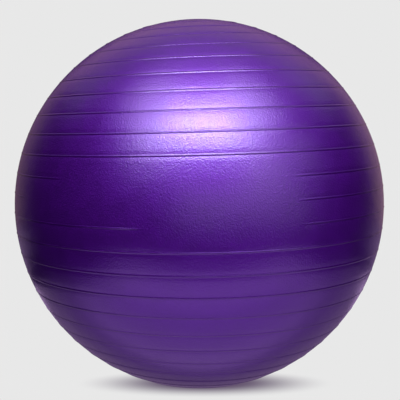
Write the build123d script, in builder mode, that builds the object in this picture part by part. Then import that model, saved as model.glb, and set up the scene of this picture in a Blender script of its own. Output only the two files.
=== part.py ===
"""Exercise ball: an inflated, ring-textured vinyl ball with a moulded valve seat and a push-in stopper plug.

Millimetres, +Z up. The origin is the middle of the flat patch that the ball rests on, and the rings lie level.
The front of the ball, with its plain panel, faces -Y, and the valve is at the back, towards +Y.
"""

import os
from math import cos, radians, sin, sqrt

from build123d import *

# ---- Driving dimensions ----
ball_diameter = 650.0  # nominal size, measured across the rings
ring_height = 0.9  # how far a ring stands proud of the skin
wall = 0.85  # inflated wall thickness
patch_radius = 30.0  # where the round skin would meet the floor if nothing eased it
patch_blend = 140.0  # radius that eases the round skin into the flat patch under the ball's own weight

ring_pitch = 6.3  # degrees of latitude from one ring to the next
ring_shift = -0.65  # latitude of the middle ring, a little below the ball's middle
rings_each_way = 12  # rings above the middle one, and again below it
ring_bead_radius = 1.8  # section radius of a ring
ring_root = 0.4  # how deep an interrupted ring is rooted in the wall

# Interrupted rings: ring number, then where its gap begins and ends, in degrees from the front towards +X
panel_gaps = {0: (-14.0, 27.5), 1: (-60.0, 26.5), 2: (-40.0, 25.5)}

valve_hole_radius = 12.0  # hole in the shell that the valve seat's spigot fills
flange_radius = 18.0  # flange bonded behind the wall
flange_floor = 3.7  # depth of the flange's inner face below the skin
neck_radius = 8.0
neck_length = 26.0  # depth of the neck's inner end below the skin
neck_root_blend = 2.0
neck_end_blend = 1.5
flange_corner_blend = 1.0
dish_radius = 9.3  # shallow dish for the plug's head
dish_depth = 1.75

plug_head_radius = 9.0
plug_head_sink = 0.15  # how far the head's top lies below the skin
plug_head_lift = 0.05  # clearance between the head and the dish's floor
plug_length = 25.5  # depth of the plug's tip below the skin
stem_top_radius = 4.8
stem_tip_radius = 4.3
stem_clearance = 0.05  # radial clearance of the stem in its bore
groove_depths = (7.0, 11.0, 15.0, 19.0)  # sealing grooves, below the skin
groove_width = 1.2
groove_cut = 0.35
head_rim_blend = 0.5
stem_tip_blend = 1.2
dimple_radius = 30.0  # shallow spherical thumb dimple in the head
dimple_depth = 0.4

# ---- Derived dimensions ----
skin_radius = ball_diameter / 2 - ring_height
air_radius = skin_radius - wall
centre_height = sqrt(skin_radius**2 - patch_radius**2)
bead_offset = skin_radius + ring_height - ring_bead_radius
ball_centre = (0, centre_height)
ring_numbers = range(-rings_each_way, rings_each_way + 1)
valve_latitude = ring_shift + ring_pitch / 2
stem_slope = (stem_top_radius - stem_tip_radius) / (plug_length - dish_depth)


def ring_latitude(number):
    """Latitude of a ring, in degrees above the level plane through the ball's centre."""
    return ring_shift + number * ring_pitch


def bead_place(number):
    """Centre of a ring's round section, in a plane through the ball's upright axis."""
    latitude = radians(ring_latitude(number))
    return (bead_offset * cos(latitude), centre_height + bead_offset * sin(latitude))


def meridian_plane(azimuth):
    """Upright plane through the ball's axis, azimuth degrees from the front towards +X."""
    turn = radians(azimuth)
    return Plane(origin=(0, 0, 0), x_dir=(sin(turn), -cos(turn), 0), z_dir=(-cos(turn), -sin(turn), 0))


def stem_radius(depth):
    """Radius of the plug's tapered stem at a depth below the skin."""
    return stem_top_radius - stem_slope * (depth - dish_depth)


def bore_radius(depth):
    """Radius of the valve seat's bore, which clears the stem evenly along its taper."""
    return stem_radius(depth) + stem_clearance


def skin_depth(radius, at_radius):
    """Depth of a sphere of the given radius below the skin's outermost point, at_radius from the valve's axis."""
    return skin_radius - sqrt(radius**2 - at_radius**2)


# The valve's own frame: its axis points straight out of the ball, between the middle ring and the one above it.
valve_out = (0, cos(radians(valve_latitude)), sin(radians(valve_latitude)))
valve_point = (0, skin_radius * valve_out[1], centre_height + skin_radius * valve_out[2])
valve_face = Plane(origin=valve_point, x_dir=(1, 0, 0), z_dir=valve_out)
valve_section = Plane(origin=valve_point, x_dir=(1, 0, 0), z_dir=(0, -valve_out[2], valve_out[1]))
valve_axis = Axis(origin=valve_point, direction=valve_out)

os.makedirs("parts", exist_ok=True)

# ---- Shell: the hollow ball with its rings ----
with BuildSketch(Plane.XZ) as air_space:
    with Locations(ball_centre):
        Circle(air_radius)
    with Locations((0, wall)):
        Rectangle(ball_diameter, ball_diameter, align=(Align.CENTER, Align.MAX), mode=Mode.SUBTRACT)
    fillet(air_space.vertices().group_by(Axis.Y)[0], radius=patch_blend)

with BuildPart() as ball_shell:
    with BuildSketch(Plane.XZ) as wall_section:
        with Locations(ball_centre):
            Circle(skin_radius)
        with Locations((0, 0)):
            Rectangle(ball_diameter, ball_diameter, align=(Align.CENTER, Align.MAX), mode=Mode.SUBTRACT)
        fillet(wall_section.vertices().group_by(Axis.Y)[0], radius=patch_blend)
        with Locations([bead_place(number) for number in ring_numbers if number not in panel_gaps]):
            Circle(ring_bead_radius)
        add(air_space.sketch_local, mode=Mode.SUBTRACT)
        Rectangle(ball_diameter, 3 * ball_diameter, align=(Align.MAX, Align.CENTER), mode=Mode.SUBTRACT)
    revolve(axis=Axis.Z)

    # The rings that stop at the plain front panel are swept part of the way round.
    for number, (gap_start, gap_end) in panel_gaps.items():
        with BuildSketch(meridian_plane(gap_end)):
            with Locations(bead_place(number)):
                Circle(ring_bead_radius)
            with Locations(ball_centre):
                Circle(skin_radius - ring_root, mode=Mode.SUBTRACT)
        revolve(axis=Axis.Z, revolution_arc=360 - (gap_end - gap_start))

    # Round hole that the valve seat fills.
    with BuildSketch(valve_face):
        Circle(valve_hole_radius)
    extrude(amount=neck_length, both=True, mode=Mode.SUBTRACT)

ball_shell.part.label = "ball_shell"
export_step(ball_shell.part, "parts/ball_shell.step")

# ---- Valve seat: spigot in the shell's hole, flange behind the wall, neck inwards, tapered bore ----
with BuildPart() as valve_seat:
    with BuildSketch(valve_section) as seat_section:
        with BuildLine():
            spigot_rim = (valve_hole_radius, -skin_depth(skin_radius, valve_hole_radius))
            spigot_foot = (valve_hole_radius, -skin_depth(air_radius, valve_hole_radius))
            flange_rim = (flange_radius, -skin_depth(air_radius, flange_radius))
            dish_rim = (dish_radius, -skin_depth(skin_radius, dish_radius))
            RadiusArc(dish_rim, spigot_rim, skin_radius)
            Line(spigot_rim, spigot_foot)
            RadiusArc(spigot_foot, flange_rim, air_radius)
            Line(flange_rim, (flange_radius, -flange_floor))
            Line((flange_radius, -flange_floor), (neck_radius, -flange_floor))
            Line((neck_radius, -flange_floor), (neck_radius, -neck_length))
            Line((neck_radius, -neck_length), (bore_radius(neck_length), -neck_length))
            Line((bore_radius(neck_length), -neck_length), (bore_radius(dish_depth), -dish_depth))
            Line((bore_radius(dish_depth), -dish_depth), (dish_radius, -dish_depth))
            Line((dish_radius, -dish_depth), dish_rim)
        make_face()
        neck_root = seat_section.vertices().sort_by_distance((neck_radius, -flange_floor))[0]
        fillet(neck_root, radius=neck_root_blend)
        flange_corner = seat_section.vertices().sort_by_distance((flange_radius, -flange_floor))[0]
        fillet(flange_corner, radius=flange_corner_blend)
        neck_end = seat_section.vertices().sort_by_distance((neck_radius, -neck_length))[0]
        fillet(neck_end, radius=neck_end_blend)
    revolve(axis=valve_axis)

valve_seat.part.label = "valve_seat"
export_step(valve_seat.part, "parts/valve_seat.step")

# ---- Stopper plug: flat head that lies in the dish, tapered stem with sealing grooves ----
with BuildPart() as stopper_plug:
    with BuildSketch(valve_section) as plug_section:
        head_foot = dish_depth - plug_head_lift
        with BuildLine():
            Polyline(
                (0, -plug_head_sink),
                (plug_head_radius, -plug_head_sink),
                (plug_head_radius, -head_foot),
                (stem_radius(head_foot), -head_foot),
                (stem_radius(plug_length), -plug_length),
                (0, -plug_length),
                close=True,
            )
        make_face()
        head_rim = plug_section.vertices().sort_by_distance((plug_head_radius, -plug_head_sink))[0]
        fillet(head_rim, radius=head_rim_blend)
        stem_tip = plug_section.vertices().sort_by_distance((stem_radius(plug_length), -plug_length))[0]
        fillet(stem_tip, radius=stem_tip_blend)
        with Locations([(stem_radius(depth), -depth) for depth in groove_depths]):
            Rectangle(2 * groove_cut, groove_width, mode=Mode.SUBTRACT)
    revolve(axis=valve_axis)

    # Shallow thumb dimple in the head.
    with BuildSketch(valve_section):
        with Locations((0, dimple_radius - plug_head_sink - dimple_depth)):
            Circle(dimple_radius)
            Rectangle(2 * dimple_radius, 3 * dimple_radius, align=(Align.MAX, Align.CENTER), mode=Mode.SUBTRACT)
    revolve(axis=valve_axis, mode=Mode.SUBTRACT)

stopper_plug.part.label = "stopper_plug"
export_step(stopper_plug.part, "parts/stopper_plug.step")
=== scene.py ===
"""Exercise ball: the visible model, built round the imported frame. Metres, in the frame's own axes."""

import math

import bmesh
import bpy
import numpy as np
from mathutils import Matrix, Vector


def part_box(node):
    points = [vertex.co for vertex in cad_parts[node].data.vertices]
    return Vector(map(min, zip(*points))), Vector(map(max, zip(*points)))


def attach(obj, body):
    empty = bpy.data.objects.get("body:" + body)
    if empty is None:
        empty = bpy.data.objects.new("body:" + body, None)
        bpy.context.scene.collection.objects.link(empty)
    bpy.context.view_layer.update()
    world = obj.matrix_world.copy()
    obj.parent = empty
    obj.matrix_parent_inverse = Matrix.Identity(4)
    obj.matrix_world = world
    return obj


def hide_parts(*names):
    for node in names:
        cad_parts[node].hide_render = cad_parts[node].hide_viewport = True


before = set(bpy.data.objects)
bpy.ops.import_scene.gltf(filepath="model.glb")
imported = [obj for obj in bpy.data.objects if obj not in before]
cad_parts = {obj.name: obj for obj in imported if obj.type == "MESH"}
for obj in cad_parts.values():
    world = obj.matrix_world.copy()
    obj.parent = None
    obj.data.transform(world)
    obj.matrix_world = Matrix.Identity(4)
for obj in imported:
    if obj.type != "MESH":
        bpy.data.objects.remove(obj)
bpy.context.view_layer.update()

TINY = 1e-9  # keeps a division away from zero

# ---- The ball's own sizes. Those that the CAD box gives are read from it. ----
FLOOR, TOP = (corner.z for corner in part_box("ball_shell"))
PATCH_CORNER = 0.030  # where the round skin would meet the floor if nothing eased it
PATCH_BLEND = 0.140  # radius that eases the skin into the flat patch
SKIN_RADIUS = ((TOP - FLOOR) ** 2 + PATCH_CORNER**2) / (2 * (TOP - FLOOR))
CENTRE = Vector((0, 0, TOP - SKIN_RADIUS))
WALL = 0.00085

RING_PITCH = math.radians(6.3)
RING_SHIFT = math.radians(-0.65)
RINGS_EACH_WAY = 12
RING_HEIGHT = 0.00055
RING_HALF_WIDTH = 0.0017
CREASE_DEPTH = 0.00012  # shallow crease at each side of a ring
CREASE_PLACE = 0.0021  # from a ring's middle
CREASE_HALF_WIDTH = 0.0007
RING_FOOT = 0.0028  # from a ring's middle to where its own mesh rows end
RING_ROWS = 9  # mesh rows over a ring
RING_SECTION = np.linspace(-RING_FOOT, RING_FOOT, RING_ROWS)

# The rings that stop at the plain front panel, by their number up from the middle: where each gap starts and
# ends, in degrees from the front towards +X.
PANEL_GAPS = {0: (-14.0, 27.5), 1: (-60.0, 26.5), 2: (-40.0, 25.5)}
PANEL_FADE = math.radians(4.0)  # a ring sinks into the skin over this arc

# The inflated skin has stretched a little unevenly, so the rings lean, more towards the top.
LEAN_AT_MIDDLE = math.radians(-0.93)
LEAN_PER_RADIAN = -1.34 / 45.0
LEAN_ENDS = (0.1, 0.8)  # shares of the way to the back between which the lean fades out

VALVE_LATITUDE = RING_SHIFT + RING_PITCH / 2
VALVE_HOLE = 0.012
HOLE_EDGE_DROP = 0.00025  # rounded edge of the shell's hole
VALVE_CELLS = 10  # fine mesh cells from the valve's middle to the ring's foot
HOLE_CELLS = 6  # of those, the cells that the hole takes up
VALVE_CELL_SIZE = (RING_PITCH * SKIN_RADIUS / 2 - RING_FOOT) / VALVE_CELLS
COLUMN_STEP = 0.010  # width of a mesh cell away from the valve
COLUMN_GROWTH = 1.3
BAND_ROWS = 3  # mesh rows between two rings
CAP_ROWS = 8  # mesh rows between the last ring and a pole
INNER_CAP_ROWS = 4  # the same on the smooth inside
SHARP_EDGE = math.radians(60)


# ---- Shell ----
def ring_latitude(number):
    """Latitude of a ring, in radians above the level plane through the ball's centre."""
    return RING_SHIFT + number * RING_PITCH


def skin_distance(direction, inset):
    """Distance from the ball's centre to its skin, along unit directions: round, but eased into the patch."""
    round_radius = SKIN_RADIUS - inset
    blend = PATCH_BLEND - inset
    floor_drop = CENTRE.z - FLOOR - inset
    blend_side = math.sqrt((round_radius - blend) ** 2 - (floor_drop - blend) ** 2)
    round_from = math.atan2(blend_side, floor_drop - blend)
    flat_to = math.atan2(blend_side, floor_drop)
    sideways = np.hypot(direction[..., 0], direction[..., 1])
    down = -direction[..., 2]
    from_pole = np.arctan2(sideways, down)
    towards = -sideways * blend_side - down * (floor_drop - blend)
    reach = blend_side**2 + (floor_drop - blend) ** 2 - blend**2
    eased = -towards + np.sqrt(np.maximum(towards**2 - reach, 0))
    flat = floor_drop / np.maximum(down, TINY)
    distance = np.where(from_pole < round_from, eased, round_radius)
    return np.where(from_pole < flat_to, flat, distance)


def smooth_step(value, low, high):
    """0 up to low, 1 from high on, and smooth between them."""
    t = np.clip((value - low) / (high - low), 0, 1)
    return t * t * (3 - 2 * t)


def ring_strength(number, azimuth):
    """1 where a ring stands at its full height, 0 in the gap of the plain panel."""
    if number not in PANEL_GAPS:
        return np.ones_like(azimuth)
    start, end = (math.radians(angle) for angle in PANEL_GAPS[number])
    before = 1 - smooth_step(azimuth, start - PANEL_FADE, start)
    after = smooth_step(azimuth, end, end + PANEL_FADE)
    return before + after


def round_hump(place):
    """1 in the middle, at 0, and down to 0 at -1 and 1 and beyond."""
    return np.where(abs(place) < 1, 0.5 + 0.5 * np.cos(np.pi * place), 0)


def ring_profile(offset):
    """Height of a ring's section above the skin, at an offset from its middle, with a crease at each side."""
    crest = round_hump(offset / RING_HALF_WIDTH)
    crease = round_hump((abs(offset) - CREASE_PLACE) / CREASE_HALF_WIDTH)
    return RING_HEIGHT * crest - CREASE_DEPTH * crease


def ring_relief(latitude, azimuth):
    """Height above the skin, and how much of a ring there is, from 0 to 1, at each point of the mesh; the
    second sets the shade painted along the rings.
    """
    number = np.rint((latitude - RING_SHIFT) / RING_PITCH)
    offset = (latitude - RING_SHIFT - number * RING_PITCH) * SKIN_RADIUS
    height = ring_profile(offset)
    nearness = np.exp(-((offset / RING_HALF_WIDTH) ** 2))
    strength = np.where(abs(number) <= RINGS_EACH_WAY, 1.0, 0.0)
    for gapped in PANEL_GAPS:
        strength = np.where(number == gapped, ring_strength(gapped, azimuth), strength)
    return height * strength, nearness * strength


def even_rows(low, high, count):
    """count latitudes evenly spaced between low and high, without the two ends."""
    return list(np.linspace(low, high, count + 2)[1:-1])


def shell_rows(section, band_rows, cap_rows):
    """Latitudes of the mesh rows, from below to above: each ring's own rows and the plain bands between."""
    foot = RING_FOOT / SKIN_RADIUS
    rows = even_rows(-math.pi / 2, ring_latitude(-RINGS_EACH_WAY) - foot, cap_rows)
    for number in range(-RINGS_EACH_WAY, RINGS_EACH_WAY + 1):
        middle = ring_latitude(number)
        rows += [middle + offset / SKIN_RADIUS for offset in section]
        if number < RINGS_EACH_WAY:
            count = 2 * VALVE_CELLS - 1 if number == 0 else band_rows
            rows += even_rows(middle + foot, ring_latitude(number + 1) - foot, count)
    rows += even_rows(ring_latitude(RINGS_EACH_WAY) + foot, math.pi / 2, cap_rows)
    return np.array(rows)


def shell_columns():
    """Azimuths of the mesh columns, from the valve's meridian all the way round, finer near the valve."""
    steps = [VALVE_CELL_SIZE] * VALVE_CELLS
    while steps[-1] * COLUMN_GROWTH < COLUMN_STEP:
        steps.append(steps[-1] * COLUMN_GROWTH)
    rest = math.pi * SKIN_RADIUS - sum(steps)
    count = math.ceil(rest / COLUMN_STEP)
    steps += [rest / count] * count
    half_turn = np.concatenate([[0], np.cumsum(steps)]) / SKIN_RADIUS
    whole_turn = np.concatenate([half_turn[:-1], 2 * math.pi - half_turn[:0:-1]])
    return whole_turn + math.pi


def lean(direction, latitude):
    """Turns the rings' planes a little about the front-to-back axis, less and less towards the back."""
    front = 1 - smooth_step(direction[..., 1], *LEAN_ENDS)
    angle = (LEAN_AT_MIDDLE + LEAN_PER_RADIAN * latitude) * front
    x, z = direction[..., 0], direction[..., 2]
    leaned = direction.copy()
    leaned[..., 0] = x * np.cos(angle) + z * np.sin(angle)
    leaned[..., 2] = z * np.cos(angle) - x * np.sin(angle)
    return leaned


def open_valve_hole(direction, cells, inset):
    """Eases the mesh round the valve from a square block of cells into a round hole."""
    out = np.array([0.0, math.cos(VALVE_LATITUDE), math.sin(VALVE_LATITUDE)])
    east = np.array([-1.0, 0.0, 0.0])
    north = np.cross(out, east)
    radius = SKIN_RADIUS - inset
    side, up = direction @ east * radius, direction @ north * radius
    reach = np.maximum(np.hypot(side, up), TINY)
    share = (cells - HOLE_CELLS) / (VALVE_CELLS - HOLE_CELLS)
    block_edge = reach * VALVE_CELLS / np.maximum(cells, 1)
    factor = (VALVE_HOLE * (1 - share) + block_edge * share) / reach
    side, up = side * factor / radius, up * factor / radius
    ahead = np.sqrt(np.maximum(1 - side**2 - up**2, 0))
    moved = side[..., None] * east + up[..., None] * north + ahead[..., None] * out
    near = (cells >= HOLE_CELLS) & (cells < VALVE_CELLS)
    return np.where(near[..., None], moved, direction)


def shell_surface(rows, columns, inset, relief):
    """One side of the shell: its points, row by row, how much of a ring is at each, and the cell numbers."""
    latitude, azimuth = np.meshgrid(rows, columns, indexing="ij")
    azimuth = (azimuth + math.pi) % (2 * math.pi) - math.pi
    level = np.cos(latitude)
    direction = np.stack([np.sin(azimuth) * level, -np.cos(azimuth) * level, np.sin(latitude)], axis=-1)
    direction = lean(direction, latitude)
    row = np.arange(len(rows))[:, None] - np.argmin(abs(rows - VALVE_LATITUDE))
    column = (np.arange(len(columns)) + len(columns) // 2) % len(columns) - len(columns) // 2
    cells = np.maximum(abs(row), abs(column)[None, :])
    direction = open_valve_hole(direction, cells, inset)
    height, ring = ring_relief(latitude, azimuth)
    height = (height - HOLE_EDGE_DROP * (cells == HOLE_CELLS)) * relief
    distance = skin_distance(direction, inset) + height
    return np.array(CENTRE) + direction * distance[..., None], ring * relief, cells


def pole(latitude, inset):
    """The skin's point at the bottom or the top of the leaning rings."""
    direction = lean(np.array([0.0, 0.0, math.sin(latitude)]), latitude)
    return np.array(CENTRE) + direction * skin_distance(direction, inset)


def side_faces(number, cells, bottom, top):
    """Faces of one side of the shell, seen from outside: quads between the rows and a fan at each pole."""
    after = np.roll(number, -1, axis=1)
    quads = np.stack([number[:-1], after[:-1], after[1:], number[1:]], axis=-1)
    cells_after = np.roll(cells, -1, axis=1)
    corners = np.stack([cells[:-1], cells_after[:-1], cells_after[1:], cells[1:]])
    faces = quads[corners.max(axis=0) > HOLE_CELLS].tolist()
    faces += [[bottom, right, left] for left, right in zip(number[0].tolist(), after[0].tolist())]
    faces += [[top, left, right] for left, right in zip(number[-1].tolist(), after[-1].tolist())]
    return faces


def hole_loop(number, cells):
    """Vertex numbers round the edge of the valve's hole, in order."""
    middle = int(np.where(cells.min(axis=1) == 0)[0][0])
    across = range(-HOLE_CELLS, HOLE_CELLS)
    loop = [number[middle - HOLE_CELLS, i] for i in across]
    loop += [number[middle + i, HOLE_CELLS] for i in across]
    loop += [number[middle + HOLE_CELLS, -i] for i in across]
    loop += [number[middle - i, -HOLE_CELLS] for i in across]
    return [int(vertex) for vertex in loop]


def build_shell():
    """The hollow shell: a ringed outside, a smooth inside, and the round hole that the valve seat fills."""
    columns = shell_columns()
    vertices, rings, faces, edges = [], [], [], []
    sides = [
        (shell_rows(RING_SECTION, BAND_ROWS, CAP_ROWS), 0.0, 1.0),
        (shell_rows((-RING_FOOT, RING_FOOT), 0, INNER_CAP_ROWS), WALL, 0.0),
    ]
    for rows, inset, relief in sides:
        points, ring, cells = shell_surface(rows, columns, inset, relief)
        number = len(vertices) + np.arange(points[..., 0].size).reshape(cells.shape)
        vertices += points.reshape(-1, 3).tolist() + [pole(-math.pi / 2, inset), pole(math.pi / 2, inset)]
        rings += ring.reshape(-1).tolist() + [0.0, 0.0]
        side = side_faces(number, cells, len(vertices) - 2, len(vertices) - 1)
        faces += side if relief else [face[::-1] for face in side]
        edges.append(hole_loop(number, cells))
    outer, inner = edges
    faces += [[outer[i - 1], outer[i], inner[i], inner[i - 1]] for i in range(len(outer))]
    shell = mesh_piece("inflated_shell", vertices, faces, {"ring": rings})
    shell.data.set_sharp_from_angle(angle=SHARP_EDGE)
    return shell


def mesh_piece(name, vertices, faces, values):
    """A smooth-shaded mesh object with named values at its points, and no loose points."""
    mesh = bpy.data.meshes.new(name)
    mesh.from_pydata(vertices, [], faces)
    mesh.polygons.foreach_set("use_smooth", [True] * len(mesh.polygons))
    for title, numbers in values.items():
        mesh.attributes.new(title, "FLOAT", "POINT").data.foreach_set("value", numbers)
    work = bmesh.new()
    work.from_mesh(mesh)
    bmesh.ops.delete(work, geom=[vertex for vertex in work.verts if not vertex.link_faces], context="VERTS")
    work.to_mesh(mesh)
    work.free()
    piece = bpy.data.objects.new(name, mesh)
    bpy.context.scene.collection.objects.link(piece)
    return piece


# ---- Materials: colours are linear, and sizes and heights are in metres ----
FULL_RANGE = (0.0, 1.0)
NOISE_MIDDLE = (0.3, 0.7)  # the stretch that most of a noise's values lie in

VINYL_DEEP = (0.064, 0.0026, 0.200)
VINYL_BRIGHT = (0.072, 0.0032, 0.225)
VINYL_FLECK = (0.085, 0.006, 0.26)
VINYL_MOTTLE_AND_RING_SHADE = (0.034, 0.0014, 0.105)  # painted shade along the rings, and the darker tone of the valve seat's mottle
VINYL_METALLIC = 0.85
VINYL_ROUGHNESS = (0.47, 0.55)
VINYL_SPECULAR = 0.0  # the white gloss comes from the coat alone
VINYL_COAT = 1.0
VINYL_COAT_ROUGHNESS = 0.26
DRIFT_SIZE = 0.14  # slow change between the deep and the bright purple
FLECK_SIZE = 0.0016
FLECK_RANGE = (0.35, 0.65)
FLECK_SHADE = 0.25  # share of the fleck's colour where a fleck is strongest
RING_SHADE = 0.55  # share of the dark colour painted on a ring's crest as shade
GLOSS_PATCH = 0.02
GRAIN_FINE = 0.0011
GRAIN_FINE_HEIGHT = 0.00002
GRAIN_COARSE = 0.0022
GRAIN_COARSE_HEIGHT = 0.0004
RIPPLE = 0.03
RIPPLE_HEIGHT = 0.0002

SEAT_MOTTLE = 0.005
SEAT_ROUGHNESS = (0.34, 0.44)
SEAT_GLOSS_PATCH = 0.002
SEAT_GRAIN = 0.0008
SEAT_GRAIN_HEIGHT = 0.00002

PLUG_CLEAN = (0.80, 0.79, 0.76)
PLUG_SCUFFED = (0.66, 0.65, 0.63)
PLUG_ROUGHNESS = (0.36, 0.52)
PLUG_SUBSURFACE = 0.15
PLUG_SUBSURFACE_RADIUS = (0.0015, 0.0013, 0.0011)
SCUFF_SIZE = 0.0035
SCUFF_RANGE = (0.55, 0.75)
PLUG_GRAIN = 0.0005
PLUG_GRAIN_HEIGHT = 0.000015


def node_material(name):
    """A new node material: its tree, its Principled shader, and the object's own coordinates in metres."""
    material = bpy.data.materials.new(name)
    material.use_nodes = True
    tree = material.node_tree
    shader = tree.nodes["Principled BSDF"]
    place = tree.nodes.new("ShaderNodeTexCoord").outputs["Object"]
    return material, tree, shader, place


def noise(tree, place, size, detail=2.0):
    """Noise with features of about the given size in metres. Returns its value, from 0 to 1."""
    node = tree.nodes.new("ShaderNodeTexNoise")
    node.inputs["Scale"].default_value = 1 / size
    node.inputs["Detail"].default_value = detail
    tree.links.new(place, node.inputs["Vector"])
    return node.outputs["Fac"]


def ramp(tree, value, before, after, smooth=False):
    """Maps a value from one range to another, held at the ends. Each range is its low and high end."""
    node = tree.nodes.new("ShaderNodeMapRange")
    if smooth:
        node.interpolation_type = "SMOOTHSTEP"
    for name, number in zip(("From Min", "From Max", "To Min", "To Max"), (*before, *after)):
        node.inputs[name].default_value = number
    tree.links.new(value, node.inputs["Value"])
    return node.outputs["Result"]


def blend(tree, factor, first, second):
    """Mixes two colours, given as triples or sockets, by a factor socket."""
    node = tree.nodes.new("ShaderNodeMix")
    node.data_type = "RGBA"
    tree.links.new(factor, node.inputs["Factor"])
    for name, colour in (("A", first), ("B", second)):
        socket = [s for s in node.inputs if s.name == name and s.type == "RGBA"][0]
        if isinstance(colour, tuple):
            socket.default_value = (*colour, 1)
        else:
            tree.links.new(colour, socket)
    return [s for s in node.outputs if s.type == "RGBA"][0]


def bump(tree, shader, layers):
    """Chains bumps into the shader's normal and returns it. Each layer is a value socket and its height."""
    normal = None
    for value, height in layers:
        node = tree.nodes.new("ShaderNodeBump")
        node.inputs["Distance"].default_value = height
        tree.links.new(value, node.inputs["Height"])
        if normal:
            tree.links.new(normal, node.inputs["Normal"])
        normal = node.outputs["Normal"]
    tree.links.new(normal, shader.inputs["Normal"])
    return normal


def ball_vinyl():
    """Satin, slightly pearly purple vinyl: moulded grain, slow drift of colour, and shade painted along the
    rings.
    """
    material, tree, shader, place = node_material("ball_vinyl")
    drift = ramp(tree, noise(tree, place, DRIFT_SIZE), NOISE_MIDDLE, FULL_RANGE)
    skin = blend(tree, drift, VINYL_DEEP, VINYL_BRIGHT)
    fleck = ramp(tree, noise(tree, place, FLECK_SIZE, detail=3.0), FLECK_RANGE, (0.0, FLECK_SHADE))
    skin = blend(tree, fleck, skin, VINYL_FLECK)
    # Painted shade: the base colour is darkened along each ring's crest by the mesh's ring value.
    ring = tree.nodes.new("ShaderNodeAttribute")
    ring.attribute_name = "ring"
    painted_ring_shade = ramp(tree, ring.outputs["Fac"], FULL_RANGE, (0.0, RING_SHADE))
    skin = blend(tree, painted_ring_shade, skin, VINYL_MOTTLE_AND_RING_SHADE)
    tree.links.new(skin, shader.inputs["Base Color"])
    roughness = ramp(tree, noise(tree, place, GLOSS_PATCH), NOISE_MIDDLE, VINYL_ROUGHNESS)
    tree.links.new(roughness, shader.inputs["Roughness"])
    shader.inputs["Metallic"].default_value = VINYL_METALLIC
    shader.inputs["Specular IOR Level"].default_value = VINYL_SPECULAR
    shader.inputs["Coat Weight"].default_value = VINYL_COAT
    shader.inputs["Coat Roughness"].default_value = VINYL_COAT_ROUGHNESS
    grain = bump(tree, shader, [
        (noise(tree, place, GRAIN_FINE, detail=1.0), GRAIN_FINE_HEIGHT),
        (noise(tree, place, GRAIN_COARSE, detail=1.0), GRAIN_COARSE_HEIGHT),
        (noise(tree, place, RIPPLE, detail=2.0), RIPPLE_HEIGHT),
    ])
    tree.links.new(grain, shader.inputs["Coat Normal"])
    return material


def valve_vinyl():
    """Firmer purple vinyl of the valve seat, a little smoother and deeper in colour than the skin."""
    material, tree, shader, place = node_material("valve_vinyl")
    mottle = ramp(tree, noise(tree, place, SEAT_MOTTLE), NOISE_MIDDLE, FULL_RANGE)
    tree.links.new(blend(tree, mottle, VINYL_DEEP, VINYL_MOTTLE_AND_RING_SHADE), shader.inputs["Base Color"])
    roughness = ramp(tree, noise(tree, place, SEAT_GLOSS_PATCH), NOISE_MIDDLE, SEAT_ROUGHNESS)
    tree.links.new(roughness, shader.inputs["Roughness"])
    shader.inputs["Metallic"].default_value = VINYL_METALLIC
    bump(tree, shader, [(noise(tree, place, SEAT_GRAIN, detail=1.0), SEAT_GRAIN_HEIGHT)])
    return material


def plug_plastic():
    """White polyethylene of the stopper plug: faintly warm and waxy, with a fine grain and light scuffs."""
    material, tree, shader, place = node_material("plug_plastic")
    scuff = ramp(tree, noise(tree, place, SCUFF_SIZE, detail=4.0), SCUFF_RANGE, FULL_RANGE)
    tree.links.new(blend(tree, scuff, PLUG_CLEAN, PLUG_SCUFFED), shader.inputs["Base Color"])
    tree.links.new(ramp(tree, scuff, FULL_RANGE, PLUG_ROUGHNESS), shader.inputs["Roughness"])
    shader.inputs["Subsurface Weight"].default_value = PLUG_SUBSURFACE
    shader.inputs["Subsurface Radius"].default_value = PLUG_SUBSURFACE_RADIUS
    bump(tree, shader, [(noise(tree, place, PLUG_GRAIN, detail=1.0), PLUG_GRAIN_HEIGHT)])
    return material


def dress_node(name, material):
    """Gives a carried-over CAD node its material."""
    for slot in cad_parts[name].material_slots:
        slot.material = material


shell = build_shell()
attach(shell, "ball")
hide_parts("ball_shell")
shell.data.materials.append(ball_vinyl())
dress_node("valve_seat", valve_vinyl())
dress_node("stopper_plug", plug_plastic())


# ---- Stage: a pale floor that meets the pale surroundings, softboxes, and the camera ----
BACKDROP = (0.807, 0.807, 0.807)
WHITE = (1.0, 1.0, 1.0)
FLOOR_RADIUS = 0.25
FLOOR_SEGMENTS = 96
SHADOW_CENTRE = (0.01, -0.025, FLOOR)
SHADOW_REACH = (0.235, 0.085, 1.0)  # how far it goes across and along; the third has no effect on flat ground
SHADOW_CORE = 0.25  # share of that reach where the shadow is at its full strength
SHADOW_COLOUR = (0.13, 0.09, 0.16)

CAMERA_RISE = 5.87  # degrees above level
CAMERA_DISTANCE = 1.567  # from the ball's centre
LENS = 78.6
SENSOR = 36.0
SHIFT = (0.0017, 0.00865)  # moves the ball a little left and down in the frame

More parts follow.
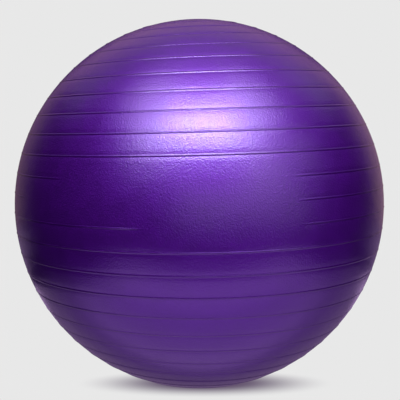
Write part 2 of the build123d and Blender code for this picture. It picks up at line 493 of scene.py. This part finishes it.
# Softboxes that face the ball: azimuth in degrees from the front towards +X, height in degrees, distance from
# the ball's centre, width and height in metres, and power in watts. The key light is wide and soft, with
# brighter strips within and above it. The others fill in the front, the sides and the back.
SOFTBOXES = {
    "key": (0, 45, 2.5, 3.4, 0.8, 46),
    "key_strip": (0, 44, 2.5, 2.2, 0.12, 22),
    "key_core": (2, 47, 2.5, 1.3, 0.14, 22),
    "key_low": (4, 38, 2.5, 1.2, 0.2, 3.5),
    "key_upper": (2, 57, 2.5, 1.3, 0.14, 22),
    "upper_left": (-30, 50, 2.5, 1.0, 0.8, 2.5),
    "upper_right": (32, 50, 2.5, 1.0, 0.8, 5),
    "mid_left": (-28, 28, 2.5, 1.0, 0.6, 2.5),
    "front": (12, 19, 2.5, 2.6, 0.5, 1.5),
    "mid_right": (36, 22, 2.5, 1.0, 0.6, 4),
    "right": (60, 28, 2.5, 1.1, 0.9, 3),
    "high": (0, 68, 2.5, 2.2, 0.6, 7),
    "high_left": (-46, 59, 2.5, 1.1, 1.2, 12),
    "high_right": (48, 58, 2.5, 1.1, 1.2, 15),
    "fill_low": (8, 6, 3.2, 2.2, 1.1, 8),
    "fill_right": (44, 5, 3.2, 2.0, 1.0, 6),
    "top": (0, 86, 2.5, 1.8, 1.4, 5),
    "top_back": (180, 65, 2.5, 2.2, 1.2, 2.3),
    "behind": (180, -2, 2.5, 1.4, 1.0, 26),
    "side_left": (-115, 46, 2.5, 1.1, 1.2, 1.2),
    "side_right": (115, 46, 2.5, 1.1, 1.2, 1.8),
}

COOL = (0.84, 1.0, 1.0)  # these two are a little cool, which turns the middle of the highlight nearly white
SOFTBOX_COLOURS = {"key_strip": COOL, "key_core": COOL}

# Upright pink panels behind the ball, which light its rim: middle across and up, width, height and power.
BACK_PANEL_DISTANCE = 1.6
BACK_COLOUR = (1.0, 0.6, 0.68)
BACK_PANELS = {
    "back_left": ((-1.5, 0.65), 1.4, 1.3, 1.2),
    "back_right": ((1.5, 0.65), 1.4, 1.3, 2.2),
    "back_high": ((0.0, 1.95), 3.2, 1.3, 6.0),
}

# Light that comes back off the pale floor round the ball, with some of the ball's colour: middle across and
# deep, width, depth and power.
BOUNCE_COLOUR = (0.84, 0.55, 1.0)
BOUNCE_LIFT = 0.0005  # these lights lie just above the floor
FLOOR_BOUNCE = {
    "floor_front": ((0.08, -0.54), 1.1, 0.24, 1.15),
    "floor_near": ((0.06, -0.30), 1.1, 0.24, 0.70),
    "floor_under": ((0.08, 0.06), 1.3, 0.46, 0.56),
    "floor_behind": ((0.05, 0.42), 1.2, 0.26, 0.8),
    "floor_back": ((0.1, 1.05), 3.0, 1.0, 2.8),
}


def area_light(name, width, height, power, colour):
    """A rectangular light that the camera itself doesn't see."""
    data = bpy.data.lights.new(name, "AREA")
    data.shape = "RECTANGLE"
    data.size = width
    data.size_y = height
    data.energy = power
    data.color = colour
    light = bpy.data.objects.new(name, data)
    light.visible_camera = False
    bpy.context.scene.collection.objects.link(light)
    return light


def around_ball(azimuth, height, distance):
    """A point round the ball's centre: azimuth from the front towards +X and height, both in degrees."""
    turn, rise = math.radians(azimuth), math.radians(height)
    level = math.cos(rise)
    return CENTRE + distance * Vector((math.sin(turn) * level, -math.cos(turn) * level, math.sin(rise)))


def aim(thing, target):
    """Turns a light or camera to look at a point."""
    thing.rotation_euler = (target - thing.location).to_track_quat("-Z", "Y").to_euler()


def make_lights():
    """Softboxes all round the ball, panels behind it, and the light that comes back off the floor."""
    for name, (azimuth, rise, distance, width, height, power) in SOFTBOXES.items():
        light = area_light(name, width, height, power, SOFTBOX_COLOURS.get(name, WHITE))
        light.location = around_ball(azimuth, rise, distance)
        aim(light, CENTRE)
    for name, ((across, up), width, height, power) in BACK_PANELS.items():
        light = area_light(name, width, height, power, BACK_COLOUR)
        light.location = (across, BACK_PANEL_DISTANCE, up)
        light.rotation_euler = (-math.pi / 2, 0, 0)
    for name, ((across, deep), width, depth, power) in FLOOR_BOUNCE.items():
        light = area_light(name, width, depth, power, BOUNCE_COLOUR)
        light.location = (across, deep, FLOOR + BOUNCE_LIFT)
        light.rotation_euler = (math.pi, 0, 0)


def make_surroundings():
    """The camera sees an even pale backdrop, which sends no light to the ball."""
    world = bpy.data.worlds.new("surroundings")
    bpy.context.scene.world = world
    world.use_nodes = True
    tree = world.node_tree
    backdrop = tree.nodes["Background"]
    backdrop.inputs["Color"].default_value = (*BACKDROP, 1)
    dark = tree.nodes.new("ShaderNodeBackground")
    dark.inputs["Color"].default_value = (0, 0, 0, 1)
    seen = tree.nodes.new("ShaderNodeLightPath").outputs["Is Camera Ray"]
    mix = tree.nodes.new("ShaderNodeMixShader")
    tree.links.new(seen, mix.inputs["Fac"])
    tree.links.new(dark.outputs["Background"], mix.inputs[1])
    tree.links.new(backdrop.outputs["Background"], mix.inputs[2])
    tree.links.new(mix.outputs["Shader"], tree.nodes["World Output"].inputs["Surface"])


def pale_floor():
    """Even pale floor, as bright as the backdrop, with the ball's flat contact shadow drawn on it."""
    material, tree, shader, place = node_material("pale_floor")
    shader.inputs["Base Color"].default_value = (0, 0, 0, 1)
    shader.inputs["Specular IOR Level"].default_value = 0.0
    shader.inputs["Emission Strength"].default_value = 1.0
    reach = tree.nodes.new("ShaderNodeMapping")
    reach.vector_type = "TEXTURE"
    reach.inputs["Location"].default_value = SHADOW_CENTRE
    reach.inputs["Scale"].default_value = SHADOW_REACH
    tree.links.new(place, reach.inputs["Vector"])
    length = tree.nodes.new("ShaderNodeVectorMath")
    length.operation = "LENGTH"
    tree.links.new(reach.outputs["Vector"], length.inputs[0])
    clear = ramp(tree, length.outputs["Value"], (SHADOW_CORE, 1.0), FULL_RANGE, smooth=True)
    tree.links.new(blend(tree, clear, SHADOW_COLOUR, BACKDROP), shader.inputs["Emission Color"])
    return material


def make_floor():
    """A round piece of floor under the ball, seen by the camera alone."""
    turns = [2 * math.pi * i / FLOOR_SEGMENTS for i in range(FLOOR_SEGMENTS)]
    rim = [(FLOOR_RADIUS * math.cos(turn), FLOOR_RADIUS * math.sin(turn), FLOOR) for turn in turns]
    fan = [[0, 1 + i, 1 + (i + 1) % FLOOR_SEGMENTS] for i in range(FLOOR_SEGMENTS)]
    floor = mesh_piece("floor", [(0, 0, FLOOR)] + rim, fan, {})
    floor.data.materials.append(pale_floor())
    floor.visible_diffuse = False
    floor.visible_glossy = False


def make_camera():
    """The camera stands in front, a little above the ball's middle, and looks at its centre."""
    data = bpy.data.cameras.new("camera")
    data.lens = LENS
    data.sensor_width = SENSOR
    data.shift_x, data.shift_y = SHIFT
    camera = bpy.data.objects.new("camera", data)
    camera.location = around_ball(0, CAMERA_RISE, CAMERA_DISTANCE)
    aim(camera, CENTRE)
    bpy.context.scene.collection.objects.link(camera)
    bpy.context.scene.camera = camera


make_lights()
make_surroundings()
make_floor()
make_camera()
bpy.context.scene.view_settings.view_transform = "Standard"
